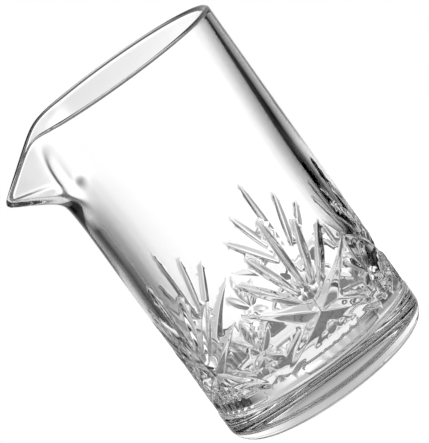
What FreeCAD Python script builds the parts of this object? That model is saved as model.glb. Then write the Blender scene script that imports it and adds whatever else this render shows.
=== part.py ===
import FreeCAD, Part
import math
import os
import Sketcher

# A one-piece pressed mixing glass: straight wall, heavy base, fire-polished rim drawn out into a
# pouring spout, and a moulded cut pattern that repeats five times round the lower half.
# Frame: +Z up, origin at the centre of the flat underside, spout towards -X. Millimetres.

V = FreeCAD.Vector

SIZES = {
    # the vessel
    "glass_height": 150.0,
    "body_radius": 45.0,
    "foot_radius": 45.4,
    "foot_height": 15.2,
    "foot_lip": 0.9,
    "foot_seam_radius": 44.5,
    "foot_round": 8.0,
    "floor_height": 18.0,
    "cavity_radius": 38.8,
    "cavity_round": 10.0,
    "cavity_mouth_radius": 41.7,
    "flare_height": 105.0,
    "rim_round": 0.8,
    # the spout
    "spout_root": 34.0,
    "channel_root": 30.0,
    "dip_start": 28.0,
    "dip_radius": 42.5,
    "dip_reach": 66.0,
    "dip_front": 90.0,
    # the cut pattern
    "repeats": 5,
    "cross_height": 34.2,
    "arm_width": 8.0,
    "arm_depth": 1.9,
    "flower_turn": 36.0,
    "flower_height": 33.2,
    "flute_pitch": 5.65,
    "flute_foot": 15.9,
    "flute_width": 3.4,
    "flute_depth": 0.7,
}

# Level sections of the spout, outside and inside: height, reach from the glass's axis, half width
# where the section leaves the wall, and the radius of its nose.
SPOUT_OUTSIDE = {
    "throat": (113.0, 44.6, 10.0, 9.0),
    "bend": (120.0, 47.5, 14.0, 8.5),
    "keel": (124.3, 53.2, 18.5, 6.0),
    "nose": (131.0, 63.9, 23.0, 4.2),
    "crest": (152.0, 70.0, 28.5, 4.5),
}
SPOUT_INSIDE = {
    "channel_start": (115.0, 38.0, 9.0, 6.5),
    "channel_bend": (123.5, 46.6, 17.0, 5.5),
    "channel_keel": (128.0, 53.0, 21.0, 3.8),
    "channel_nose": (134.0, 61.2, 24.0, 2.4),
    "channel_crest": (153.0, 67.0, 27.5, 2.4),
}

# Leaves cut along rays from the middle of a cross: lean from the vertical in degrees, where the
# leaf starts and ends along its ray, its width and its depth.
FAN_LEAVES = {
    "fan_mid": (0.0, 10.0, 42.5, 3.2, 1.3),
    "fan_inner": (20.0, 10.0, 36.0, 3.6, 1.4),
    "fan_outer": (39.0, 9.0, 35.0, 3.8, 1.5),
}

# Petals of the flower in each diamond, along rays from the flower's middle.
PETALS = {
    "petal_up": (0.0, 1.0, 14.5, 4.4, 1.1),
    "petal_high": (40.0, 1.0, 12.0, 4.2, 1.1),
    "petal_low": (128.0, 1.0, 8.5, 4.0, 1.1),
    "petal_down": (180.0, 1.0, 12.5, 4.2, 1.2),
}

# Upright flutes under each cross: how many pitches off its middle, and how high each one reaches.
FLUTES = {"flute_mid": (0, 29.2), "flute_near": (1, 26.8), "flute_far": (2, 24.5)}

# Arms of a cross, cut as lofts because they wrap too far round the wall for one straight cut:
# lean, length, and stations with the share of that length and the share of the full section.
ARMS = {
    "arm_high": (58.6, 32.0, ((-0.09, 0.4), (0.04, 1.0), (0.5, 0.54), (1.0, 0.05))),
    "arm_low": (118.5, 27.5, ((-0.1, 0.4), (0.05, 0.95), (0.55, 0.7), (0.85, 0.48), (1.0, 0.12))),
}

doc = FreeCAD.newDocument("MixingGlass")
sheet = doc.addObject("Spreadsheet::Sheet", "Sizes")


def fill_sheet():
    rows = dict(SIZES)
    for name, values in {**SPOUT_OUTSIDE, **SPOUT_INSIDE}.items():
        for label, value in zip(("height", "reach", "half", "nose"), values):
            rows[name + "_" + label] = value
    for name, values in {**FAN_LEAVES, **PETALS}.items():
        for label, value in zip(("lean", "start", "end", "width", "depth"), values):
            rows[name + "_" + label] = value
    for name, (_, top) in FLUTES.items():
        rows[name + "_top"] = top
    for name, (lean, length, _) in ARMS.items():
        rows[name + "_lean"] = lean
        rows[name + "_length"] = length
    for row, (alias, value) in enumerate(rows.items(), start=1):
        cell = "A%d" % row
        sheet.set(cell, str(value))
        sheet.setAlias(cell, alias)
    doc.recompute()


def cells(expression):
    """Write $name as a reference to the sheet's cell of that name."""
    return expression.replace("$", "Sizes.")


def number(expression):
    result = sheet.evalExpression(cells(expression))
    return float(getattr(result, "Value", result))


def size_of(alias):
    return number("$" + alias)


def new_sketch(name, plane, offset=None):
    sketch = body.newObject("Sketcher::SketchObject", name)
    support = [item for item in body.Origin.OriginFeatures if item.Role == plane][0]
    sketch.AttachmentSupport = [(support, "")]
    sketch.MapMode = "FlatFace"
    if offset:
        sketch.setExpression("AttachmentOffset", cells(offset))
    return sketch


def hold(sketch, kind, arguments, name, expression):
    """Add a dimension whose value is a sheet expression."""
    index = sketch.addConstraint(Sketcher.Constraint(kind, *arguments, number(expression)))
    sketch.renameConstraint(index, name)
    sketch.setExpression("Constraints." + name, cells(expression))


def join(sketch, kind, first, first_end, second, second_end):
    sketch.addConstraint(Sketcher.Constraint(kind, first, first_end, second, second_end))


def pin(sketch, geometry, end, name, across, along):
    hold(sketch, "DistanceX", (-1, 1, geometry, end), name + "_across", across)
    hold(sketch, "DistanceY", (-1, 1, geometry, end), name + "_along", along)


def draw_polygon(sketch, corners):
    """Closed outline of straight lines; each corner is a name and two expressions."""
    points = [V(number(across), number(along), 0) for _, across, along in corners]
    count = len(points)
    for index in range(count):
        sketch.addGeometry(Part.LineSegment(points[index], points[(index + 1) % count]))
    for index in range(count):
        sketch.addConstraint(Sketcher.Constraint("Coincident", index, 2, (index + 1) % count, 1))
    for index, (name, across, along) in enumerate(corners):
        pin(sketch, index, 1, name, across, along)


def add_arc(sketch, centre, start, end):
    """Arc about centre that runs counterclockwise from start to end."""
    circle = Part.Circle(centre, V(0, 0, 1), (start - centre).Length)
    first = math.atan2(start.y - centre.y, start.x - centre.x)
    last = math.atan2(end.y - centre.y, end.x - centre.x)
    return sketch.addGeometry(Part.ArcOfCircle(circle, first, last))


def revolve(kind, name, sketch, axis="V_Axis", sweep=None):
    """Revolution or Groove: a full turn, or a part turn both ways from the sketch."""
    feature = body.newObject("PartDesign::" + kind, name)
    feature.Profile = sketch
    feature.ReferenceAxis = (sketch, [axis])
    feature.Angle = 360
    if sweep:
        feature.Midplane = True
        feature.setExpression("Angle", cells(sweep))
    return feature


def round_edges(name, wanted, radius):
    """Fillet the tip's edges that wanted(edge) picks."""
    edges = ["Edge%d" % index for index, edge in enumerate(body.Tip.Shape.Edges, start=1)
             if wanted(edge)]
    fillet = body.newObject("PartDesign::Fillet", name)
    fillet.Base = (fillet.BaseFeature, edges)
    fillet.setExpression("Radius", cells(radius))
    doc.recompute()
    return fillet


def make_outside():
    sketch = new_sketch("OutsideProfile", "XZ_Plane")
    draw_polygon(sketch, [
        ("middle", "0", "0"),
        ("foot", "$foot_radius", "0"),
        ("foot_top", "$foot_radius", "$foot_height - $foot_lip"),
        ("seam", "$foot_seam_radius", "$foot_height"),
        ("wall_foot", "$body_radius", "$foot_height + $foot_lip"),
        ("rim", "$body_radius", "$glass_height"),
        ("crown", "0", "$glass_height"),
    ])
    revolve("Revolution", "Outside", sketch)
    doc.recompute()
    round_edges("FootRound", lambda edge: edge.BoundBox.ZMax < 0.01, "$foot_round")


def make_cavity():
    sketch = new_sketch("CavityProfile", "XZ_Plane")
    floor = size_of("floor_height")
    wide = size_of("cavity_radius")
    flare = size_of("flare_height")
    mouth = size_of("cavity_mouth_radius")
    above = number("$glass_height + 1")
    flare_radius = ((above - flare) ** 2 + (mouth - wide) ** 2) / (2 * (mouth - wide))
    floor_line = sketch.addGeometry(Part.LineSegment(V(0, floor, 0), V(wide, floor, 0)))
    wall_line = sketch.addGeometry(Part.LineSegment(V(wide, floor, 0), V(wide, flare, 0)))
    arc = add_arc(sketch, V(wide + flare_radius, flare, 0), V(mouth, above, 0), V(wide, flare, 0))
    mouth_line = sketch.addGeometry(Part.LineSegment(V(mouth, above, 0), V(0, above, 0)))
    axis_line = sketch.addGeometry(Part.LineSegment(V(0, above, 0), V(0, floor, 0)))
    join(sketch, "Coincident", floor_line, 2, wall_line, 1)
    join(sketch, "Tangent", wall_line, 2, arc, 2)
    join(sketch, "Coincident", arc, 1, mouth_line, 1)
    join(sketch, "Coincident", mouth_line, 2, axis_line, 1)
    join(sketch, "Coincident", axis_line, 2, floor_line, 1)
    pin(sketch, floor_line, 1, "floor_middle", "0", "$floor_height")
    pin(sketch, floor_line, 2, "floor_edge", "$cavity_radius", "$floor_height")
    hold(sketch, "DistanceY", (-1, 1, wall_line, 2), "flare", "$flare_height")
    pin(sketch, mouth_line, 1, "mouth", "$cavity_mouth_radius", "$glass_height + 1")
    pin(sketch, mouth_line, 2, "mouth_middle", "0", "$glass_height + 1")
    sketch.addConstraint(Sketcher.Constraint("Vertical", wall_line))
    revolve("Groove", "Cavity", sketch)
    doc.recompute()
    round_edges("CavityRound", lambda edge: is_ring(edge, wide, floor), "$cavity_round")


def is_ring(edge, radius, height):
    curve = edge.Curve
    if not isinstance(curve, Part.Circle):
        return False
    return abs(curve.Radius - radius) < 0.01 and abs(curve.Center.z - height) < 0.01


def spout_section(name, root_cell):
    """Level outline that leaves the wall at two corners and closes round a nose towards -X."""
    sketch = new_sketch(name.title().replace("_", "") + "Section", "XY_Plane",
                        "placement(vector(0; 0; $%s_height); rotationz(180))" % name)
    root = size_of(root_cell)
    half = size_of(name + "_half")
    nose = size_of(name + "_nose")
    centre = V(size_of(name + "_reach") - nose, 0, 0)
    corner = V(root, half, 0)
    low_corner = V(root, -half, 0)
    away = corner - centre
    bearing = math.atan2(away.y, away.x) - math.acos(nose / away.Length)
    touch = centre + V(math.cos(bearing), math.sin(bearing), 0) * nose
    low_touch = V(touch.x, -touch.y, 0)
    back = sketch.addGeometry(Part.LineSegment(low_corner, corner))
    side = sketch.addGeometry(Part.LineSegment(corner, touch))
    tip = add_arc(sketch, centre, low_touch, touch)
    low_side = sketch.addGeometry(Part.LineSegment(low_touch, low_corner))
    join(sketch, "Coincident", back, 2, side, 1)
    join(sketch, "Tangent", side, 2, tip, 2)
    join(sketch, "Tangent", tip, 1, low_side, 1)
    join(sketch, "Coincident", low_side, 2, back, 1)
    sketch.addConstraint(Sketcher.Constraint("Symmetric", back, 1, back, 2, -1))
    sketch.addConstraint(Sketcher.Constraint("PointOnObject", tip, 3, -1))
    pin(sketch, back, 2, "corner", "$" + root_cell, "$%s_half" % name)
    hold(sketch, "DistanceX", (-1, 1, tip, 3), "centre", "$%s_reach - $%s_nose" % (name, name))
    hold(sketch, "Radius", (tip,), "nose", "$%s_nose" % name)
    return sketch


def loft(kind, name, sections):
    feature = body.newObject("PartDesign::" + kind, name)
    feature.Profile = sections[0]
    feature.Sections = sections[1:]
    feature.Ruled = False
    return feature


def make_spout_outside():
    loft("AdditiveLoft", "SpoutOutside",
         [spout_section(name, "spout_root") for name in SPOUT_OUTSIDE])
    doc.recompute()


def make_spout_inside():
    loft("SubtractiveLoft", "SpoutInside",
         [spout_section(name, "channel_root") for name in SPOUT_INSIDE])
    doc.recompute()


def trim_lip():
    """Cut the top of the spout along an arc that leaves the rim level and dips to the tip."""
    sketch = new_sketch("LipProfile", "XZ_Plane", "placement(vector(0; 0; 0); rotationy(180))")
    start = size_of("dip_start")
    reach = size_of("dip_reach")
    beyond = size_of("dip_front")
    top = size_of("glass_height")
    above = number("$glass_height + 5")
    radius = size_of("dip_radius")
    centre = V(start, top - radius, 0)
    low = V(reach, centre.y + math.sqrt(radius ** 2 - (reach - start) ** 2), 0)
    back = sketch.addGeometry(Part.LineSegment(V(0, above, 0), V(0, top, 0)))
    level = sketch.addGeometry(Part.LineSegment(V(0, top, 0), V(start, top, 0)))
    dip = add_arc(sketch, centre, low, V(start, top, 0))
    shelf = sketch.addGeometry(Part.LineSegment(low, V(beyond, low.y, 0)))
    front = sketch.addGeometry(Part.LineSegment(V(beyond, low.y, 0), V(beyond, above, 0)))
    roof = sketch.addGeometry(Part.LineSegment(V(beyond, above, 0), V(0, above, 0)))
    join(sketch, "Coincident", back, 2, level, 1)
    join(sketch, "Tangent", level, 2, dip, 2)
    join(sketch, "Coincident", dip, 1, shelf, 1)
    join(sketch, "Coincident", shelf, 2, front, 1)
    join(sketch, "Coincident", front, 2, roof, 1)
    join(sketch, "Coincident", roof, 2, back, 1)
    pin(sketch, back, 1, "back", "0", "$glass_height + 5")
    pin(sketch, level, 1, "level", "0", "$glass_height")
    pin(sketch, level, 2, "start", "$dip_start", "$glass_height")
    pin(sketch, front, 2, "front", "$dip_front", "$glass_height + 5")
    hold(sketch, "DistanceX", (-1, 1, shelf, 1), "reach", "$dip_reach")
    sketch.addConstraint(Sketcher.Constraint("Horizontal", shelf))
    sketch.addConstraint(Sketcher.Constraint("Vertical", front))
    hold(sketch, "Radius", (dip,), "dip", "$dip_radius")
    pocket = body.newObject("PartDesign::Pocket", "LipTrim")
    pocket.Profile = sketch
    pocket.Type = "ThroughAll"
    pocket.Midplane = True
    doc.recompute()


def on_lip(edge):
    """True for an edge of the rim: on the level crown, or on the arc that dips to the tip."""
    start = size_of("dip_start")
    top = size_of("glass_height")
    radius = size_of("dip_radius")
    first, last = edge.ParameterRange
    for share in (0.1, 0.5, 0.9):
        place = edge.valueAt(first + share * (last - first))
        beyond = max(-place.x - start, 0.0)
        if beyond > radius:
            return False
        crown = top - radius + math.sqrt(radius ** 2 - beyond ** 2)
        if abs(place.z - crown) > 0.05:
            return False
    return True


def place_on_wall(turn, height, lean, outward):
    """Placement of a sketch whose Y points into the glass and whose normal follows the cut."""
    return ("placement(vector((%s) * cos(%s); (%s) * sin(%s); %s);"
            " rotationz(%s) * rotationx(-(%s)) * rotationz(90))"
            % (outward, turn, outward, turn, height, turn, lean))


def round_rim():
    round_edges("RimRound", on_lip, "$rim_round")


def cut_wheel(name, azimuth, rise, lean, half, depth, width):
    """Lens-shaped mitre cut, made by a V-edged wheel that dips into the wall and out again.

    The wheel's radius follows from the cut's half length and depth, and from how fast the wall
    curves away under a leaning cut.
    """
    wheel = "(1 / (2 * %s / %s ^ 2 - sin(%s) ^ 2 / $body_radius))" % (depth, half, lean)
    outward = "($body_radius + %s - %s)" % (wheel, depth)
    sketch = new_sketch(name + "Profile", "XY_Plane",
                        place_on_wall(azimuth, rise, lean, outward))
    back = "%s - 2 * %s" % (wheel, depth)
    draw_polygon(sketch, [
        ("edge", "0", wheel),
        ("left", "-(%s)" % width, back),
        ("right", width, back),
    ])
    return revolve("Groove", name, sketch, "H_Axis", "2 * asin(%s / %s) + 8deg" % (half, wheel))


def cut_ray(name, ray, side, turn, height):
    """A leaf or petal along a ray from a centre on the wall, on the side -1 or +1 of upright."""
    lean = "(%d * $%s_lean * 1deg)" % (side, ray)
    middle = "(($%s_start + $%s_end) / 2)" % (ray, ray)
    half = "(($%s_end - $%s_start) / 2)" % (ray, ray)
    azimuth = "((%s) * 1deg + %s * sin(%s) / $body_radius * 1rad)" % (turn, middle, lean)
    rise = "(%s + %s * cos(%s))" % (height, middle, lean)
    return cut_wheel(name, azimuth, rise, lean, half, "$%s_depth" % ray, "$%s_width" % ray)


def cut_rays(rays, turn, height):
    """Every leaf in a table, on both sides of upright unless it stands upright itself."""
    made = []
    for ray in rays:
        name = ray.title().replace("_", "")
        upright = abs(math.sin(math.radians(size_of(ray + "_lean")))) < 0.001
        made.append(cut_ray(name, ray, 1, turn, height))
        if not upright:
            made.append(cut_ray(name + "Left", ray, -1, turn, height))
    return made


def cut_arm(arm, side):
    """One arm of a cross: a V groove that follows the wall, widest at the middle of the cross."""
    name = arm.title().replace("_", "") + ("Left" if side < 0 else "")
    lean = "(%d * $%s_lean * 1deg)" % (side, arm)
    sections = []
    for station, (share, fullness) in enumerate(ARMS[arm][2], start=1):
        along = "($%s_length * %s)" % (arm, share)
        azimuth = "(%s * sin(%s) / $body_radius * 1rad)" % (along, lean)
        rise = "($cross_height + %s * cos(%s))" % (along, lean)
        sketch = new_sketch("%sSection%d" % (name, station), "XY_Plane",
                            place_on_wall(azimuth, rise, lean, "$body_radius"))
        draw_polygon(sketch, [
            ("edge", "0", "$arm_depth * %s" % fullness),
            ("left", "-$arm_width * %s" % fullness, "-$arm_depth * %s" % fullness),
            ("right", "$arm_width * %s" % fullness, "-$arm_depth * %s" % fullness),
        ])
        sections.append(sketch)
    return loft("SubtractiveLoft", name, sections)


def cut_flutes():
    made = []
    for name, (step, _) in FLUTES.items():
        half = "(($%s_top - $flute_foot) / 2)" % name
        rise = "(($%s_top + $flute_foot) / 2)" % name
        for side in (1, -1) if step else (1,):
            label = name.title().replace("_", "") + ("Left" if side < 0 else "")
            azimuth = "(%d * $flute_pitch * 1deg)" % (side * step)
            made.append(cut_wheel(label, azimuth, rise, "0deg", half,
                                  "$flute_depth", "$flute_width"))
    return made


def cut_pattern():
    """One cross with its fan, flutes and neighbouring flower, repeated round the glass."""
    cuts = cut_rays(FAN_LEAVES, "0", "$cross_height")
    cuts += cut_rays(PETALS, "$flower_turn", "$flower_height")
    cuts += cut_flutes()
    cuts += [cut_arm(arm, side) for arm in ARMS for side in (1, -1)]
    doc.recompute()
    round_the_glass = body.newObject("PartDesign::PolarPattern", "RoundTheGlass")
    round_the_glass.Originals = cuts
    vertical = [item for item in body.Origin.OriginFeatures if item.Role == "Z_Axis"][0]
    round_the_glass.Axis = (vertical, [""])
    round_the_glass.Angle = 360
    round_the_glass.setExpression("Occurrences", cells("$repeats"))
    body.Tip = round_the_glass
    doc.recompute()


def check(stage, grows):
    """Every feature computed, one valid solid, and material added or removed as intended."""
    for item in doc.Objects:
        if "Invalid" in item.State or "Error" in item.State:
            raise RuntimeError("%s failed: %s" % (item.Name, item.State))
    shape = body.Tip.Shape
    if shape.isNull() or not shape.isValid() or len(shape.Solids) != 1:
        raise RuntimeError("%s left no single valid solid" % stage)
    if volumes and (shape.Volume > volumes[-1]) != grows:
        raise RuntimeError("%s changed the volume the wrong way" % stage)
    volumes.append(shape.Volume)
    print("%-14s %10.1f mm3" % (stage, shape.Volume))


fill_sheet()
body = doc.addObject("PartDesign::Body", "MixingGlass")
body.Label = "mixing_glass"
volumes = []
for stage, make, grows in (
        ("outside", make_outside, True),
        ("spout", make_spout_outside, True),
        ("lip", trim_lip, False),
        ("cavity", make_cavity, False),
        ("channel", make_spout_inside, False),
        ("rim", round_rim, False),
        ("pattern", cut_pattern, False)):
    make()
    check(stage, grows)

os.makedirs("parts", exist_ok=True)
body.Shape.exportStep(os.path.join("parts", body.Label + ".step"))
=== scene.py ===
import math

import bpy
import numpy as np
from mathutils import Matrix, Vector
from mathutils.geometry import delaunay_2d_cdt


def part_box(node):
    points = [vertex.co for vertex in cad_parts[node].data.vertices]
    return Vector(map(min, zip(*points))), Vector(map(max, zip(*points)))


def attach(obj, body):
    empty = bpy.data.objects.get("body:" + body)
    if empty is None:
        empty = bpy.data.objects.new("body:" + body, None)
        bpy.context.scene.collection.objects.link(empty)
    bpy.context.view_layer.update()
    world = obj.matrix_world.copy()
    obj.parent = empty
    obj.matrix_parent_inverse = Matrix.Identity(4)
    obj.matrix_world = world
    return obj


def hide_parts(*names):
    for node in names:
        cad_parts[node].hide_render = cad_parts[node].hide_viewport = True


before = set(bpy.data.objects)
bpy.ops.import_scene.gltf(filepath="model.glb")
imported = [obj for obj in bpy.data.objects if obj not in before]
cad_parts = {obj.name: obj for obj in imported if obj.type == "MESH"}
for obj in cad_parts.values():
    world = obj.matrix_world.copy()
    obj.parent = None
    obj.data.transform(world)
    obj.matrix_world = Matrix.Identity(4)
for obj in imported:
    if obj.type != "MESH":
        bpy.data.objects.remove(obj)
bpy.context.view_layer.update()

# Lengths below are millimetres until a mesh is made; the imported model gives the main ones.
MM = 0.001
low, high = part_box("mixing_glass")
HEIGHT = (high.z - low.z) / MM
FOOT_RADIUS = high.y / MM
SPOUT_REACH = -low.x / MM
FOOT_STEP = 0.4
WALL_RADIUS = FOOT_RADIUS - FOOT_STEP

# The foot, with a step and a seam where the wall starts, and the base
FOOT_HEIGHT = 15.2
FOOT_ROUND = 8.0
STEP_SOFTNESS = 0.12
SEAM_DEPTH = 0.5
SEAM_HALF_HEIGHT = 0.4
FLOOR_HEIGHT = 18.0
FLOOR_ROUND = 10.0

# The inside, which opens above the taper height
BORE_RADIUS = 38.8
TAPER_HEIGHT = 85.0
TAPER_SLOPE = 0.0462
TAPER_SOFTNESS = 4.0

# The spout: it grows out of the wall between two heights and within a window of angles. Its front
# leans back above a turn, and its underside slopes in to the wall at the keel's turn.
SPOUT_FROM = 104.0
SPOUT_FULL = 120.0
WINDOW_ANGLE = 48.0
WINDOW_SOFTNESS = 2.0
FRONT_PAST_TIP = 1.55
FRONT_TURN_HEIGHT = 131.0
FRONT_LEAN = 0.22
FRONT_SOFTNESS = 1.0
FRONT_WALL_SHARE = 0.55
KEEL_TURN_HEIGHT = 119.9
KEEL_SLOPE = 0.523
KEEL_SOFTNESS = 1.8
CHANNEL_TURN_HEIGHT = 120.6
CHANNEL_SOFTNESS = 3.6
CUT_BACK_SOFTNESS = 0.8
CREASE_SOFTNESS = 0.8
LIP_THICKNESS = 3.3
LIP_DIP_START = 39.3
LIP_DIP_SLOPE = 0.74
LIP_DIP_SOFTNESS = 2.5
# Half angle between the spout's flat sides, and the radius of its nose: at the tip, at the rim
TIP_HEIGHT = 129.0
SIDE_ANGLES = (37.0, 45.0)
NOSE_RADII = (4.2, 5.0)
CHANNEL_NOSE_CUT = 2.4
SHARPEST_NOSE = 1.6

# The cut pattern, unrolled: across is measured round the wall from the middle of a cross, or for
# petals from the middle of a flower, which lies half a pitch further on
REPEATS = 5
PITCH = 2 * math.pi * WALL_RADIUS / REPEATS
BAND_LOW = 16.2
BAND_HIGH = 82.0
BLEND = 0.09
CREASE = 0.15
LEAF_CREASE = 0.22

# Leaves and petals: the two ends, width, depth, and how full the ends are (2 is a lens, more is
# blunter)
LEAVES = (
    ((0.0, 44.8), (0.0, 77.0), 3.2, 1.2, 2.5),
    ((3.6, 44.6), (12.6, 68.3), 3.7, 1.35, 2.2),
    ((4.4, 40.7), (21.4, 61.6), 4.0, 1.45, 2.2),
    ((10.2, 33.5), (21.6, 27.4), 1.8, 0.45, 2.0),
)
PETALS = (
    ((0.0, 34.5), (0.0, 48.5), 4.4, 1.1, 2.0),
    ((-0.8, 34.2), (-7.8, 43.4), 4.2, 1.1, 2.0),
    ((-0.6, 32.8), (-6.3, 28.3), 4.0, 1.0, 2.0),
    ((0.0, 31.8), (0.0, 20.5), 4.2, 1.2, 2.0),
)
# Arms of a cross: lean from upright, width, depth, and the share of both along the arm
CROSS_HEIGHT = 33.7
ARMS = (
    (59.1, 10.0, 1.9, ((-2.5, 0.0), (0.0, 1.0), (11.0, 0.63), (15.0, 0.46), (22.0, 0.25), (31.8, 0.0))),
    (118.2, 8.0, 1.8, ((-2.5, 0.0), (0.0, 1.0), (11.0, 0.76), (22.0, 0.56), (25.5, 0.4), (27.5, 0.0))),
)
# How an arm's share runs on past its start and its end: how far, and the share there
ARM_BEFORE_START = (3.0, -1.0)
ARM_PAST_END = (6.0, -0.6)
# A leaf's share is worked out as far as this many half lengths from its middle
LEAF_REACH = 1.6
# The groove that joins the two outer leaves of a fan under the others, an arc; angles in radians
LINK_MIDDLE = 44.8
LINK_RADIUS = 6.0
LINK_HALF_ANGLE = 0.95
LINK_END_ANGLE = 0.25
LINK_WIDTH = 1.3
LINK_DEPTH = 0.35
# Round-topped flutes: how far out, how high the middle of the round top is
FLUTES = ((0.0, 27.6), (4.45, 25.2), (8.9, 22.9))
FLUTE_FOOT = 16.0
FLUTE_FADE = 1.0
FLUTE_HALF_WIDTH = 1.7
FLUTE_DEPTH = 0.55
# The fine line that frames the panel with the flutes
PANEL_LINE = ((0.0, 17.3), (17.2, 17.3), (18.4, 17.8), (18.8, 19.2))
PANEL_WIDTH = 1.0
PANEL_DEPTH = 0.22

# How finely the surfaces are meshed
COLUMNS = 180
OUTSIDE_ROWS = 56
INSIDE_ROWS = 30
LIP_ROWS = 23
LIP_STEPS = 40
FLOOR_ROUND_ROWS = 31
FOOT_ROUND_ROWS = 41
LEAF_STATIONS = 21
ARM_STATIONS = 30
LINK_STATIONS = 25
FLUTE_CAP_STATIONS = 17
FLUTE_SIDE_STATIONS = 7
BAND_ROWS = 40
BAND_ROW_GAP = 2.0
BAND_COLUMN_GAP = 2.4
BAND_MARGIN = 1.0
BAND_FOOT_MARGIN = 1.5
WELD_DISTANCE = 0.002
WELD_DIGITS = 3
BAND_TO_MOUTH_GAP = 1.6
SLOPE_REACH = 0.06
UNDERSIDE_RADII = (3.0, 12.0, 24.0, 34.0)
FLOOR_RADII = (20.0, 10.0, 3.0)
FOOT_ROWS = (10.0, 12.0, 13.3, 14.0, 14.4, 14.7, 14.9, 15.05, 15.2, 15.35, 15.5, 15.7, 15.95)
# Angles from the spout's direction, and the gap between columns there, in degrees
COLUMN_PLACES = (0.0, 5.0, 14.0, 45.0, 60.0)
COLUMN_GAPS = (0.35, 0.5, 1.2, 1.6, 2.0)


def softplus(value, softness):
    """max(value, 0) with its corner rounded over about softness."""
    return softness * np.logaddexp(0.0, value / softness)


def smooth(share):
    share = np.clip(share, 0.0, 1.0)
    return share * share * (3 - 2 * share)


def between(ends, z):
    """A size that changes smoothly from the spout's tip to the rim."""
    return ends[0] + (ends[1] - ends[0]) * smooth((z - TIP_HEIGHT) / (HEIGHT - TIP_HEIGHT))


def bore(z):
    """Inside radius of the round wall."""
    return BORE_RADIUS + TAPER_SLOPE * softplus(z - TAPER_HEIGHT, TAPER_SOFTNESS)


def spout_front(z, wall):
    """How far the spout's blunt front stands from the axis."""
    lean = FRONT_LEAN * softplus(z - FRONT_TURN_HEIGHT, FRONT_SOFTNESS)
    return SPOUT_REACH + FRONT_PAST_TIP - lean + (wall - WALL_RADIUS) * FRONT_WALL_SHARE


def spout_keel(z, wall, turn_height, softness):
    """How far the sloping underside of the spout stands from the axis."""
    return wall + softplus(z - turn_height, softness) / KEEL_SLOPE


def wall_with_spout(turn, z, wall, turn_height, softness, nose_cut):
    """Radius of the outer or inner surface; turn is the angle from the spout's direction.

    Two flat sides meet in a round nose, which is wider the further the underside cuts it back.
    """
    away = np.abs(turn)
    front = spout_front(z, wall)
    cut_back = softplus(front - spout_keel(z, wall, turn_height, softness), CUT_BACK_SOFTNESS)
    half = np.radians(between(SIDE_ANGLES, z))
    nose = np.maximum(between(NOSE_RADII, z) - nose_cut, SHARPEST_NOSE) + cut_back / (1 / np.sin(half) - 1)
    centre = front - cut_back - nose
    square = np.sqrt(np.maximum(nose ** 2 - (centre * np.sin(away)) ** 2, 0.0))
    on_nose = centre * np.cos(away) + square
    leaves_nose = np.arctan2(nose * np.cos(half), centre + nose * np.sin(half))
    side = (centre * np.sin(half) + nose) / np.sin(np.minimum(half + away, math.pi / 2))
    wedge = np.where(away < leaves_nose, on_nose, side)
    window = 1 / (1 + np.exp((np.degrees(away) - WINDOW_ANGLE) / WINDOW_SOFTNESS))
    window = window * smooth((z - SPOUT_FROM) / (SPOUT_FULL - SPOUT_FROM))
    return wall + softplus(wedge - wall, CREASE_SOFTNESS) * window


def outside(turn, z):
    return wall_with_spout(turn, z, WALL_RADIUS, KEEL_TURN_HEIGHT, KEEL_SOFTNESS, 0.0)


def inside(turn, z):
    return wall_with_spout(turn, z, bore(z), CHANNEL_TURN_HEIGHT, CHANNEL_SOFTNESS,
                           CHANNEL_NOSE_CUT)


def lip_height(forward):
    """Height of the lip's crest, by distance towards the spout."""
    return HEIGHT - LIP_DIP_SLOPE * softplus(forward - LIP_DIP_START, LIP_DIP_SOFTNESS)


def groove(side, share, width, depth, crease=CREASE):
    """Depth of a groove with a bottom rounded over about crease; share scales width and depth."""
    flank = depth / (math.hypot(width / 2, crease) - crease)
    return depth * share - flank * (np.sqrt(side ** 2 + crease ** 2) - crease)


class Straight:
    """A cut along a straight line on the unrolled wall."""

    # Where mesh lines run along it, as shares of its half width
    OFFSETS = (-1.2, -1.03, -0.9, -0.6, -0.3, -0.1, 0.0, 0.1, 0.3, 0.6, 0.9, 1.03, 1.2)

    def __init__(self, start, end, width, depth, share, stations, crease):
        self.start = np.array(start, float)
        reach = np.array(end, float) - self.start
        self.way = reach / float(np.hypot(*reach))
        self.width = width
        self.depth = depth
        self.share = share
        self.stations = stations
        self.crease = crease

    def cut(self, across, height):
        out = across - self.start[0]
        up = height - self.start[1]
        along = out * self.way[0] + up * self.way[1]
        side = out * self.way[1] - up * self.way[0]
        return groove(side, self.share(along), self.width, self.depth, self.crease)

    def lines(self):
        for offset in self.OFFSETS:
            side = offset * self.width / 2 * np.maximum(self.share(self.stations), 0.0)
            yield (self.start + self.stations[:, None] * self.way
                   + side[:, None] * np.array([self.way[1], -self.way[0]]))


def leaf(start, end, width, depth, fullness, middle=0.0):
    """A lens-shaped cut; beyond its ends its share turns negative and runs out above the wall."""
    start = (start[0] + middle, start[1])
    end = (end[0] + middle, end[1])
    half = math.hypot(end[0] - start[0], end[1] - start[1]) / 2

    def share(along):
        return 1 - np.abs(np.clip(along / half - 1, -LEAF_REACH, LEAF_REACH)) ** fullness

    stations = half * (1 + np.sin(np.linspace(-math.pi / 2, math.pi / 2, LEAF_STATIONS)))
    return Straight(start, end, width, depth, share, stations, LEAF_CREASE * width)


def arm(lean, width, depth, profile):
    """A cut out of the middle of a cross, which runs out above the wall beyond its ends."""
    places, shares = np.array(profile).T
    places = np.concatenate([[places[0] - ARM_BEFORE_START[0]], places, [places[-1] + ARM_PAST_END[0]]])
    shares = np.concatenate([[ARM_BEFORE_START[1]], shares, [ARM_PAST_END[1]]])
    lean = math.radians(lean)

    def share(along):
        return np.interp(along, places, shares)

    return Straight((0.0, CROSS_HEIGHT), (math.sin(lean), CROSS_HEIGHT + math.cos(lean)), width,
                    depth, share, np.linspace(places[1], places[-2], ARM_STATIONS), CREASE)


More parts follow.
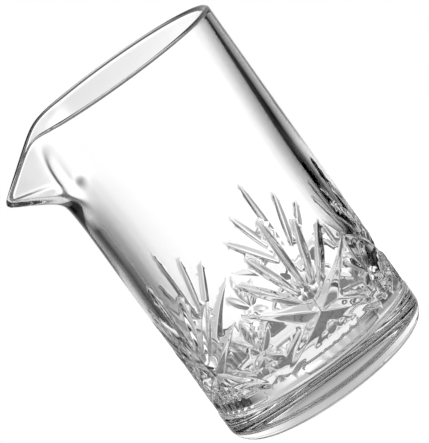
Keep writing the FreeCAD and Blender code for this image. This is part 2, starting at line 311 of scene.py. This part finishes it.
class Link:
    """The arc that joins the two outer leaves of a fan."""

    # Where mesh lines run along it, as shares of its width
    OFFSETS = (-0.62, -0.45, -0.2, 0.0, 0.2, 0.45, 0.62)

    def cut(self, across, height):
        side = np.hypot(across, height - LINK_MIDDLE) - LINK_RADIUS
        turn = np.abs(np.arctan2(across, LINK_MIDDLE - height))
        share = np.clip((LINK_HALF_ANGLE - turn) / LINK_END_ANGLE, -2.0, 1.0)
        return groove(side, share, LINK_WIDTH, LINK_DEPTH)

    def lines(self):
        turn = np.linspace(-LINK_HALF_ANGLE, LINK_HALF_ANGLE, LINK_STATIONS)
        for offset in self.OFFSETS:
            reach = LINK_RADIUS + offset * LINK_WIDTH
            yield np.stack([reach * np.sin(turn), LINK_MIDDLE - reach * np.cos(turn)], axis=1)


class Flute:
    """A scooped upright channel with a round top."""

    # Where mesh lines run round it, as shares of its half width
    OFFSETS = (0.25, 0.5, 0.75, 0.92, 1.02, 1.15)

    def __init__(self, across, top):
        self.across = across
        self.top = top

    def cut(self, across, height):
        above = np.maximum(height - self.top, 0.0)
        below = np.maximum(FLUTE_FOOT + FLUTE_FADE - height, 0.0)
        away = ((across - self.across) ** 2 + above ** 2) / FLUTE_HALF_WIDTH ** 2
        return FLUTE_DEPTH * (1 - away - below)

    def lines(self):
        turn = np.linspace(0, math.pi, FLUTE_CAP_STATIONS)
        for offset in self.OFFSETS:
            reach = offset * FLUTE_HALF_WIDTH
            cap = np.stack([self.across + reach * np.cos(turn), self.top + reach * np.sin(turn)], axis=1)
            side = np.linspace(FLUTE_FOOT, self.top, FLUTE_SIDE_STATIONS)[:-1]
            right = np.stack([np.full_like(side, self.across + reach), side], axis=1)
            left = np.stack([np.full_like(side, self.across - reach), side[::-1]], axis=1)
            yield np.concatenate([right, cap, left])
        yield np.array([[self.across, FLUTE_FOOT], [self.across, self.top + FLUTE_HALF_WIDTH]])


class Panel:
    """The fine line that frames the flutes."""

    # How far mesh lines run from it, in millimetres
    OFFSETS = (-0.55, -0.3, 0.0, 0.3, 0.55)

    def cut(self, across, height):
        away = np.full_like(height, 50.0)
        for start, end in zip(PANEL_LINE[:-1], PANEL_LINE[1:]):
            start, end = np.array(start), np.array(end)
            way = end - start
            out = across - start[0]
            up = height - start[1]
            part = np.clip((out * way[0] + up * way[1]) / (way @ way), 0.0, 1.0)
            away = np.minimum(away, np.hypot(out - part * way[0], up - part * way[1]))
        return groove(away, 1.0, PANEL_WIDTH, PANEL_DEPTH)

    def lines(self):
        """The panel's line moved up or out by each offset, with its corner cut more simply."""
        for offset in self.OFFSETS:
            yield np.array([[0.0, PANEL_LINE[0][1] + offset], [17.6 - offset, PANEL_LINE[0][1] + offset],
                            [18.8 - offset, 18.2 + 0.2 * offset], [18.9 - offset, 19.6]])


def make_cuts():
    """Every cut that starts in the half repeat between a cross and the flower to its right."""
    cuts = [leaf(*item) for item in LEAVES]
    cuts += [leaf(*item, middle=PITCH / 2) for item in PETALS]
    cuts += [arm(*item) for item in ARMS]
    cuts += [Flute(*item) for item in FLUTES]
    return cuts + [Link(), Panel()]


CUTS = make_cuts()


def cut_depth(across, height):
    """Depth of the pattern below the wall; overlapping cuts meet in slightly rounded ridges."""
    folded = np.abs((across + PITCH / 2) % PITCH - PITCH / 2)
    total = np.ones_like(folded)
    for cut in CUTS:
        for image in (folded, -folded, PITCH - folded):
            total += np.exp(np.clip(cut.cut(image, height), -4.0, None) / BLEND)
    return BLEND * np.log(total)


def wall_radius(height):
    """Outer radius of the foot, the seam above it and the plain wall."""
    foot = 1 / (1 + np.exp((height - FOOT_HEIGHT) / STEP_SOFTNESS))
    seam = SEAM_DEPTH * np.exp(-((height - FOOT_HEIGHT) / SEAM_HALF_HEIGHT) ** 2)
    return WALL_RADIUS + (FOOT_RADIUS - WALL_RADIUS) * foot - seam


def unrolled_slice():
    """Triangles of half a repeat of the pattern, laid flat, with edges along every cut."""
    wide = PITCH / 2
    points = []
    edges = []

    def add_chain(chain):
        first = len(points)
        points.extend(Vector((float(x), float(y))) for x, y in chain)
        edges.extend((i, i + 1) for i in range(first, len(points) - 1))

    across = np.linspace(0.0, wide, COLUMNS // (2 * REPEATS) + 1)
    heights = np.linspace(BAND_LOW, BAND_HIGH, BAND_ROWS)
    for height in (BAND_LOW, BAND_HIGH):
        add_chain([(x, height) for x in across])
    for x in (0.0, wide):
        add_chain([(x, height) for height in heights])
    for cut in CUTS:
        for line in cut.lines():
            for run in clipped(line, wide):
                add_chain(run)
    # Between the lines, points in staggered rows, kept clear of the slice's edges
    for row, height in enumerate(np.arange(BAND_LOW + BAND_FOOT_MARGIN, BAND_HIGH - BAND_MARGIN,
                                           BAND_ROW_GAP)):
        first = BAND_COLUMN_GAP / 2 * (1 + row % 2)
        for x in np.arange(first, wide - BAND_MARGIN, BAND_COLUMN_GAP):
            points.append(Vector((float(x), float(height))))
    verts, _, faces, *_ = delaunay_2d_cdt(points, edges, [], 0, WELD_DISTANCE)
    verts = np.array([tuple(v) for v in verts])
    verts[:, 0] = np.clip(verts[:, 0], 0.0, wide)
    verts[:, 1] = np.clip(verts[:, 1], BAND_LOW, BAND_HIGH)
    return verts, np.array(faces)


def clipped(line, wide):
    """The runs of a line that lie inside the slice, cut exactly at its edges."""
    run = []
    for start, end in zip(line[:-1], line[1:]):
        enter, leave = 0.0, 1.0
        step = end - start
        for axis, lowest, highest in ((0, 0.0, wide), (1, BAND_LOW, BAND_HIGH)):
            if abs(step[axis]) < 1e-9:
                if not lowest <= start[axis] <= highest:
                    enter, leave = 1.0, 0.0
                continue
            near, far = sorted(((lowest - start[axis]) / step[axis], (highest - start[axis]) / step[axis]))
            enter = max(enter, near)
            leave = min(leave, far)
        if leave - enter < 1e-6:
            if len(run) > 1:
                yield run
            run = []
            continue
        if not run or enter > 0.0:
            if len(run) > 1:
                yield run
            run = [start + step * enter]
        run.append(start + step * leave)
    if len(run) > 1:
        yield run


class Shell:
    """Vertices, normals and faces of one closed surface."""

    def __init__(self):
        self.places = []
        self.normals = []
        self.faces = []
        self.count = 0

    def add(self, places, normals):
        first = self.count
        self.places.append(np.asarray(places, float).reshape(-1, 3))
        self.normals.append(np.asarray(normals, float).reshape(-1, 3))
        self.count += len(self.places[-1])
        return np.arange(first, self.count)

    def add_grid_faces(self, ids):
        """ids is rows by columns; columns close on themselves."""
        after = np.roll(ids, -1, axis=1)
        quads = np.stack([ids[:-1], after[:-1], after[1:], ids[1:]], axis=-1)
        self.faces.extend(map(tuple, quads.reshape(-1, 4).tolist()))

    def close(self, ring, pole):
        self.faces.extend((int(a), int(b), int(pole)) for a, b in zip(ring, np.roll(ring, -1)))

    def stitch(self, lower, upper):
        """Triangles between two rings that don't have the same columns."""
        places = np.concatenate(self.places)
        rings = []
        for ring in (lower, upper):
            angles = np.arctan2(places[ring, 1], places[ring, 0])
            order = np.argsort(angles)
            rings.append((ring[order], angles[order]))
        (low_ids, low_angles), (up_ids, up_angles) = rings
        i = j = 0
        low_count, up_count = len(low_ids), len(up_ids)
        while i < low_count or j < up_count:
            low_next = low_angles[(i + 1) % low_count] + 2 * math.pi * ((i + 1) // low_count)
            up_next = up_angles[(j + 1) % up_count] + 2 * math.pi * ((j + 1) // up_count)
            here = (int(low_ids[i % low_count]), int(up_ids[j % up_count]))
            if j >= up_count or (i < low_count and low_next <= up_next):
                i += 1
                self.faces.append((here[0], int(low_ids[i % low_count]), here[1]))
            else:
                j += 1
                self.faces.append((here[0], int(up_ids[j % up_count]), here[1]))


def tangent(before, here, after):
    """Direction of a curve at its middle sample, allowing for uneven spacing."""
    gap_before = np.linalg.norm(here - before, axis=-1, keepdims=True) + 1e-9
    gap_after = np.linalg.norm(after - here, axis=-1, keepdims=True) + 1e-9
    return (gap_before ** 2 * (after - here) + gap_after ** 2 * (here - before)) / (
        gap_before * gap_after * (gap_before + gap_after))


def unit(vectors):
    return vectors / (np.linalg.norm(vectors, axis=-1, keepdims=True) + 1e-12)


def grid_normals(grid):
    """Outward normals of a grid whose columns run round the glass and rows run up the outside."""
    round_way = tangent(np.roll(grid, 1, axis=1), grid, np.roll(grid, -1, axis=1))
    up_way = np.empty_like(grid)
    up_way[1:-1] = tangent(grid[:-2], grid[1:-1], grid[2:])
    up_way[0] = grid[1] - grid[0]
    up_way[-1] = grid[-1] - grid[-2]
    return unit(np.cross(round_way, up_way))


def round_point(turn, radius, height):
    """Place at an angle from the spout's direction."""
    return np.stack([-radius * np.cos(turn), -radius * np.sin(turn),
                     height + 0 * turn], axis=-1)


def spout_columns():
    """Angles from the spout's direction, closest together round its nose."""
    steps = [0.0]
    while steps[-1] < 180.0:
        steps.append(steps[-1] + float(np.interp(steps[-1], COLUMN_PLACES, COLUMN_GAPS)))
    half = np.radians(np.array(steps[1:-1]) * 180.0 / steps[-1])
    return np.concatenate([-half[::-1], [0.0], half, [math.pi]])


def mouth_grid():
    """The outside above the pattern, over the lip and down the inside to the floor."""
    turn = spout_columns()
    ends = HEIGHT - LIP_THICKNESS / 2 + 0 * turn
    nudge = 0.05
    # Settle where the outside ends, so that the lip's crest comes to its height
    for _ in range(LIP_STEPS):
        outer = np.stack([outside(turn, ends), ends], axis=-1)
        rise = np.stack([outside(turn, ends) - outside(turn, ends - nudge), nudge + 0 * turn], axis=-1)
        rise = unit(rise)
        inward = np.stack([-rise[:, 1], rise[:, 0]], axis=-1)
        inner_height = ends + LIP_THICKNESS * inward[:, 1]
        inner = np.stack([inside(turn, inner_height), inner_height], axis=-1)
        crest = (outer + inner) / 2 + rise * np.linalg.norm(outer - inner, axis=-1, keepdims=True) / 2
        top = (outer[:, 1] + inner[:, 1]) / 2 + np.hypot(
            (outer[:, 1] - inner[:, 1]) / 2, crest[:, 1] - (outer[:, 1] + inner[:, 1]) / 2)
        ends = ends + 0.5 * (lip_height(crest[:, 0] * np.cos(turn)) - top)
    rows = []
    first_row = BAND_HIGH + BAND_TO_MOUTH_GAP
    for share in np.linspace(0.0, 1.0, OUTSIDE_ROWS):
        height = first_row + (ends - first_row) * share
        rows.append(round_point(turn, outside(turn, height), height))
    middle = (outer + inner) / 2
    reach = (outer - inner) / 2
    bulge = rise * np.linalg.norm(reach, axis=-1, keepdims=True)
    for angle in np.linspace(0.0, math.pi, LIP_ROWS + 2)[1:-1]:
        section = middle + math.cos(angle) * reach + math.sin(angle) * bulge
        rows.append(round_point(turn, section[:, 0], section[:, 1]))
    for share in np.linspace(0.0, 1.0, OUTSIDE_ROWS):
        height = inner_height + (SPOUT_FROM - inner_height) * share
        rows.append(round_point(turn, inside(turn, height), height))
    corner_height = FLOOR_HEIGHT + FLOOR_ROUND
    for height in np.linspace(SPOUT_FROM, corner_height, INSIDE_ROWS)[1:]:
        rows.append(round_point(turn, inside(turn, np.full_like(turn, height)), height))
    for angle in np.linspace(0.0, math.pi / 2, FLOOR_ROUND_ROWS)[1:]:
        radius = BORE_RADIUS - FLOOR_ROUND + FLOOR_ROUND * math.cos(angle)
        rows.append(round_point(turn, radius + 0 * turn, corner_height - FLOOR_ROUND * math.sin(angle)))
    for radius in FLOOR_RADII:
        rows.append(round_point(turn, radius + 0 * turn, FLOOR_HEIGHT))
    return np.array(rows)


def foot_grid():
    """From the middle of the underside out, round the foot and up to the pattern."""
    turn = np.radians(np.arange(COLUMNS) * 360.0 / COLUMNS) - math.pi
    rows = [round_point(turn, radius + 0 * turn, 0.0) for radius in UNDERSIDE_RADII]
    flat = FOOT_RADIUS - FOOT_ROUND
    for angle in np.linspace(0.0, math.pi / 2, FOOT_ROUND_ROWS):
        rows.append(round_point(turn, flat + FOOT_ROUND * math.sin(angle) + 0 * turn,
                                FOOT_ROUND * (1 - math.cos(angle))))
    for height in FOOT_ROWS:
        rows.append(round_point(turn, wall_radius(np.full_like(turn, height)), height))
    return np.array(rows)


def build_glass():
    """The whole glass as one closed mesh: the cut band, the foot below it, the mouth above it."""
    shell = Shell()
    flat, triangles = unrolled_slice()
    copies = []
    for repeat in range(REPEATS):
        for side in (1, -1):
            across = side * flat[:, 0] + repeat * PITCH
            copies.append((across, triangles if side > 0 else triangles[:, ::-1]))

    def on_wall(across, height):
        angle = across / WALL_RADIUS
        radius = wall_radius(height) - cut_depth(across, height)
        return np.stack([radius * np.cos(angle), radius * np.sin(angle), height], axis=-1)

    places = []
    normals = []
    faces = []
    height = flat[:, 1]
    for index, (across, tris) in enumerate(copies):
        round_way = on_wall(across + SLOPE_REACH, height) - on_wall(across - SLOPE_REACH, height)
        up_way = on_wall(across, height + SLOPE_REACH) - on_wall(across, height - SLOPE_REACH)
        places.append(on_wall(across, height))
        normals.append(unit(np.cross(round_way, up_way)))
        faces.append(tris + index * len(flat))
    places = np.concatenate(places)
    normals = np.concatenate(normals)
    faces = np.concatenate(faces)
    # Weld the copies where they meet, and drop the faces that this leaves without area
    _, keep, place_of = np.unique(np.round(places, WELD_DIGITS), axis=0, return_index=True,
                                  return_inverse=True)
    band = shell.add(places[keep], normals[keep])
    faces = place_of.reshape(-1)[faces]
    proper = (faces[:, 0] != faces[:, 1]) & (faces[:, 1] != faces[:, 2]) & (faces[:, 2] != faces[:, 0])
    shell.faces.extend(map(tuple, band[faces[proper]].tolist()))
    heights = places[keep][:, 2]
    band_low = band[np.abs(heights - BAND_LOW) < 1e-3]
    band_high = band[np.abs(heights - BAND_HIGH) < 1e-3]

    foot = foot_grid()
    foot_ids = shell.add(foot, grid_normals(foot)).reshape(foot.shape[:2])
    shell.add_grid_faces(foot_ids)
    shell.stitch(foot_ids[-1], band_low)
    underside = shell.add([(0, 0, 0)], [(0, 0, -1)])[0]
    shell.close(foot_ids[0][::-1], underside)

    mouth = mouth_grid()
    mouth_ids = shell.add(mouth, grid_normals(mouth)).reshape(mouth.shape[:2])
    shell.add_grid_faces(mouth_ids)
    shell.stitch(band_high, mouth_ids[0])
    floor = shell.add([(0, 0, FLOOR_HEIGHT)], [(0, 0, 1)])[0]
    shell.close(mouth_ids[-1], floor)

    mesh = bpy.data.meshes.new("glass")
    mesh.from_pydata((np.concatenate(shell.places) * MM).tolist(), [], shell.faces)
    mesh.shade_smooth()
    mesh.normals_split_custom_set_from_vertices(unit(np.concatenate(shell.normals)).tolist())
    return mesh


glass = bpy.data.objects.new("glass", build_glass())
bpy.context.scene.collection.objects.link(glass)
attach(glass, "root")
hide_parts("mixing_glass")


# The materials, in metres
GLASS_WAVES_PER_METRE = 35.0
GLASS_WAVE_HEIGHT = 0.00006
GLASS_IOR = 1.5
FLOOR_PATCHES_PER_METRE = 40.0
FLOOR_GLOW = 0.8


def node_tree(material):
    """An empty node tree's nodes and links."""
    material.use_nodes = True
    nodes = material.node_tree.nodes
    nodes.clear()
    return nodes, material.node_tree.links


def mottle(nodes, links, scale):
    """Soft noise in the object's own space."""
    place = nodes.new("ShaderNodeTexCoord")
    noise = nodes.new("ShaderNodeTexNoise")
    noise.inputs["Scale"].default_value = scale
    noise.inputs["Detail"].default_value = 1.0
    links.new(place.outputs["Object"], noise.inputs["Vector"])
    return noise.outputs[0]


def clear_glass():
    """Clear glass with the faint waviness of a pressed and fire-polished wall."""
    material = bpy.data.materials.new("clear_glass")
    nodes, links = node_tree(material)
    output = nodes.new("ShaderNodeOutputMaterial")
    shader = nodes.new("ShaderNodeBsdfPrincipled")
    shader.inputs["Base Color"].default_value = (1.0, 1.0, 1.0, 1.0)
    shader.inputs["Transmission Weight"].default_value = 1.0
    shader.inputs["Roughness"].default_value = 0.0
    shader.inputs["IOR"].default_value = GLASS_IOR
    waves = nodes.new("ShaderNodeBump")
    waves.inputs["Strength"].default_value = 1.0
    waves.inputs["Distance"].default_value = GLASS_WAVE_HEIGHT
    links.new(mottle(nodes, links, GLASS_WAVES_PER_METRE), waves.inputs["Height"])
    links.new(waves.outputs[0], shader.inputs["Normal"])
    links.new(shader.outputs[0], output.inputs["Surface"])
    return material


def pale_floor():
    """Matt white paper, a little smoother in patches."""
    material = bpy.data.materials.new("pale_floor")
    nodes, links = node_tree(material)
    output = nodes.new("ShaderNodeOutputMaterial")
    shader = nodes.new("ShaderNodeBsdfPrincipled")
    shader.inputs["Base Color"].default_value = (0.9, 0.9, 0.9, 1.0)
    shader.inputs["Emission Color"].default_value = (1.0, 1.0, 1.0, 1.0)
    shader.inputs["Emission Strength"].default_value = FLOOR_GLOW
    patches = nodes.new("ShaderNodeMapRange")
    patches.inputs["To Min"].default_value = 0.8
    patches.inputs["To Max"].default_value = 1.0
    links.new(mottle(nodes, links, FLOOR_PATCHES_PER_METRE), patches.inputs[0])
    links.new(patches.outputs[0], shader.inputs["Roughness"])
    links.new(shader.outputs[0], output.inputs["Surface"])
    return material


glass.data.materials.append(clear_glass())

# The floor: a disc just below the foot, which the glass neither shows nor mirrors
FLOOR_DISC_RADIUS = 0.3
FLOOR_DISC_SIDES = 96
FLOOR_GAP = 0.0002


def build_floor():
    turns = np.linspace(0, 2 * math.pi, FLOOR_DISC_SIDES + 1)[:-1]
    edge = [(math.cos(turn) * FLOOR_DISC_RADIUS, math.sin(turn) * FLOOR_DISC_RADIUS, -FLOOR_GAP)
            for turn in turns]
    mesh = bpy.data.meshes.new("floor")
    mesh.from_pydata(edge, [], [tuple(range(FLOOR_DISC_SIDES))])
    return mesh


floor = bpy.data.objects.new("floor", build_floor())
floor.data.materials.append(pale_floor())
bpy.context.scene.collection.objects.link(floor)
floor.visible_transmission = False
floor.visible_glossy = False

# The camera, at the photograph's angle; it leans over as the photographer's did
CAMERA_AZIMUTH = 3.25
CAMERA_ELEVATION = 10.14
CAMERA_DISTANCE = 1.1445
CAMERA_ROLL = -35.76
CAMERA_LENS = 237.0
CAMERA_SHIFT = (-0.0212, 0.0095)
CAMERA_SENSOR = 36.0
NEAREST_SEEN = 0.01
BOUNCES = 7

# The studio, seen through and in the glass: a bright card straight behind it that fades into dark
# flags, which draw its edges, and soft lights further round. Each ring is a list of degrees round
# from straight behind (left is positive) and brightness there. From the ground up they are GROUND,
# TABLE, BAND (the card and flags), HAZE, LAMPS and SKY. Each takes over at its edge, in degrees of
# elevation, within its softness.
BAND = ((-180, 1.0), (-100, 1.0), (-85, 1.2), (-80, 0.0), (-35, 0.0), (-10, 1.2), (0, 1.2), (25, 0.1),
        (35, 0.0), (45, 0.15), (80, 0.3), (85, 1.2), (100, 1.0), (180, 1.0))
HAZE = ((-180, 0.9), (-85, 0.9), (-80, 0.0), (-35, 0.0), (-10, 1.0), (-5, 1.0), (5, 0.65), (30, 0.3),
        (60, 0.5), (180, 0.9))
TABLE = ((-180, 0.9), (-85, 0.9), (-75, 0.0), (-50, 0.0), (-40, 0.6), (-20, 0.1), (15, 0.1), (30, 0.7),
         (180, 0.9))
LAMPS = ((-180, 0.9), (-90, 0.9), (-80, 1.2), (-45, 1.2), (-20, 0.6), (0, 0.5), (20, 0.6), (45, 1.2),
         (90, 1.0), (180, 0.9))
SKY = ((-180, 0.4), (-90, 0.4), (-70, 1.2), (-45, 1.2), (-25, 0.2), (180, 0.4))
GROUND = ((-180, 0.9), (180, 0.9))
TABLE_EDGE = -18.0
TABLE_SOFTNESS = 5.0
GROUND_EDGE = -42.0
GROUND_SOFTNESS = 10.0
HAZE_EDGE = -8.9
HAZE_SOFTNESS = 2.2
LAMPS_EDGE = 1.5
LAMPS_SOFTNESS = 4.0
SKY_EDGE = 30.0
SKY_SOFTNESS = 25.0
BRIGHTEST = 2.0


class WorldNodes:
    """Small helpers for the studio's node tree."""

    def __init__(self, tree):
        self.nodes = tree.nodes
        self.links = tree.links

    def number(self, operation, *values, clamp=False):
        node = self.nodes.new("ShaderNodeMath")
        node.operation = operation
        node.use_clamp = clamp
        for socket, value in zip(node.inputs, values):
            if isinstance(value, (int, float)):
                socket.default_value = value
            else:
                self.links.new(value, socket)
        return node.outputs[0]

    def mixed(self, share, first, second):
        """A colour between two; sockets 6 and 7 and output 2 are a Mix node's colour ones."""
        node = self.nodes.new("ShaderNodeMix")
        node.data_type = "RGBA"
        self.links.new(share, node.inputs["Factor"])
        for socket, value in ((node.inputs[6], first), (node.inputs[7], second)):
            if isinstance(value, tuple):
                socket.default_value = value
            else:
                self.links.new(value, socket)
        return node.outputs[2]

    def ring(self, place, stops):
        """Grey by the share of a full turn; stops are degrees and brightness."""
        node = self.nodes.new("ShaderNodeValToRGB")
        self.links.new(place, node.inputs[0])
        elements = node.color_ramp.elements
        elements.remove(elements[1])
        elements[0].position = 0.0
        for degrees, _ in stops[1:]:
            elements.new(0.5 + degrees / 360.0)
        for element, (_, brightness) in zip(elements, stops):
            grey = brightness / BRIGHTEST
            element.color = (grey, grey, grey, 1.0)
        return node.outputs[0]

    def above(self, rise, edge, softness):
        """0 below the edge, 1 above it."""
        return self.number("MULTIPLY_ADD", rise, 1.0 / softness, 0.5 - edge / softness, clamp=True)


def studio():
    """Rings of light over one another by elevation; the camera itself sees a plain pale backdrop."""
    world = bpy.data.worlds.new("studio")
    world.use_nodes = True
    tree = world.node_tree
    tree.nodes.clear()
    make = WorldNodes(tree)
    direction = tree.nodes.new("ShaderNodeTexCoord")
    split = tree.nodes.new("ShaderNodeSeparateXYZ")
    tree.links.new(direction.outputs["Generated"], split.inputs[0])
    east, north, up = split.outputs
    round_angle = make.number("ARCTAN2", north, east)
    turns = make.number("MULTIPLY_ADD", round_angle, 0.5 / math.pi, 0.5 - (90.0 + CAMERA_AZIMUTH) / 360.0)
    place = make.number("FRACT", turns)
    rise = make.number("DEGREES", make.number("ARCSINE", up))
    light = make.mixed(make.above(rise, GROUND_EDGE, GROUND_SOFTNESS), make.ring(place, GROUND),
                       make.ring(place, TABLE))
    light = make.mixed(make.above(rise, TABLE_EDGE, TABLE_SOFTNESS), light, make.ring(place, BAND))
    light = make.mixed(make.above(rise, HAZE_EDGE, HAZE_SOFTNESS), light, make.ring(place, HAZE))
    light = make.mixed(make.above(rise, LAMPS_EDGE, LAMPS_SOFTNESS), light, make.ring(place, LAMPS))
    light = make.mixed(make.above(rise, SKY_EDGE, SKY_SOFTNESS), light, make.ring(place, SKY))
    backdrop = (1.0 / BRIGHTEST, 1.0 / BRIGHTEST, 1.0 / BRIGHTEST, 1.0)
    light_path = tree.nodes.new("ShaderNodeLightPath")
    seen = make.mixed(light_path.outputs["Is Camera Ray"], light, backdrop)
    background = tree.nodes.new("ShaderNodeBackground")
    background.inputs["Strength"].default_value = BRIGHTEST
    output = tree.nodes.new("ShaderNodeOutputWorld")
    tree.links.new(seen, background.inputs["Color"])
    tree.links.new(background.outputs[0], output.inputs["Surface"])
    return world


bpy.context.scene.world = studio()

camera_data = bpy.data.cameras.new("camera")
camera_data.lens = CAMERA_LENS
camera_data.sensor_width = CAMERA_SENSOR
camera_data.sensor_fit = "VERTICAL"
camera_data.sensor_height = CAMERA_SENSOR
camera_data.clip_start = NEAREST_SEEN
camera_data.shift_x, camera_data.shift_y = CAMERA_SHIFT
camera = bpy.data.objects.new("camera", camera_data)
azimuth = math.radians(CAMERA_AZIMUTH)
elevation = math.radians(CAMERA_ELEVATION)
target = Vector((0, 0, HEIGHT / 2 * MM))
back = Vector((math.sin(azimuth) * math.cos(elevation), -math.cos(azimuth) * math.cos(elevation),
               math.sin(elevation)))
aim = (-back).to_track_quat("-Z", "Y").to_matrix().to_4x4()
camera.matrix_world = (Matrix.Translation(target + back * CAMERA_DISTANCE) @ aim
                       @ Matrix.Rotation(math.radians(CAMERA_ROLL), 4, "Z"))
bpy.context.scene.collection.objects.link(camera)
bpy.context.scene.camera = camera
bpy.context.scene.view_settings.view_transform = "Standard"
bpy.context.scene.cycles.max_bounces = BOUNCES
bpy.context.scene.cycles.transmission_bounces = BOUNCES
bpy.context.scene.cycles.glossy_bounces = BOUNCES
